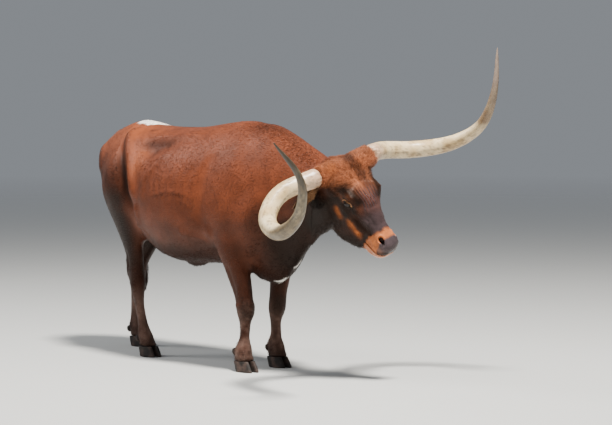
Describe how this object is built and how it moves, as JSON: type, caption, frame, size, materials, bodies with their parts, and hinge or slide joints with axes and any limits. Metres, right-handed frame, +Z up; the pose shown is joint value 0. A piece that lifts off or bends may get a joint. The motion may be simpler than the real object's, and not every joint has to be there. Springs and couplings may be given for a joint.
{
  "type": "texas longhorn steer",
  "caption": "Life-size longhorn steer standing on four feet, head low and turned to its left, with long horns that sweep out and up.",
  "frame": {"origin": "on the ground, under the middle of the whole animal's box", "axes": "+X from tail to head, +Y to the animal's left, +Z up"},
  "size_m": [3.0758, 1.662, 1.8462],
  "materials": {
    "coat": "short glossy mahogany-red hair",
    "dark_coat": "short dark brown hair, dusty towards the feet",
    "horn": "ivory horn with faint growth rings and a darker tip",
    "hoof": "dark worn hoof horn",
    "eye": "wet dark brown eye"
  },
  "bodies": {
    "root": {"torso": "coat", "neck": "coat", "head": "coat", "ear_left": "coat", "ear_right": "coat", "sheath": "coat", "tail": "coat", "foreleg_upper_left": "coat", "foreleg_upper_right": "coat", "hindleg_upper_left": "coat", "hindleg_upper_right": "coat", "foreleg_lower_left": "dark_coat", "foreleg_lower_right": "dark_coat", "hindleg_lower_left": "dark_coat", "hindleg_lower_right": "dark_coat", "tail_switch": "dark_coat", "horn_left": "horn", "horn_right": "horn", "eye_left": "eye", "eye_right": "eye", "claw_fore_left_outer": "hoof", "claw_fore_left_inner": "hoof", "claw_fore_right_outer": "hoof", "claw_fore_right_inner": "hoof", "claw_hind_left_outer": "hoof", "claw_hind_left_inner": "hoof", "claw_hind_right_outer": "hoof", "claw_hind_right_inner": "hoof", "dewclaw_fore_left_outer": "hoof", "dewclaw_fore_left_inner": "hoof", "dewclaw_fore_right_outer": "hoof", "dewclaw_fore_right_inner": "hoof", "dewclaw_hind_left_outer": "hoof", "dewclaw_hind_left_inner": "hoof", "dewclaw_hind_right_outer": "hoof", "dewclaw_hind_right_inner": "hoof"}
  },
  "joints": []
}
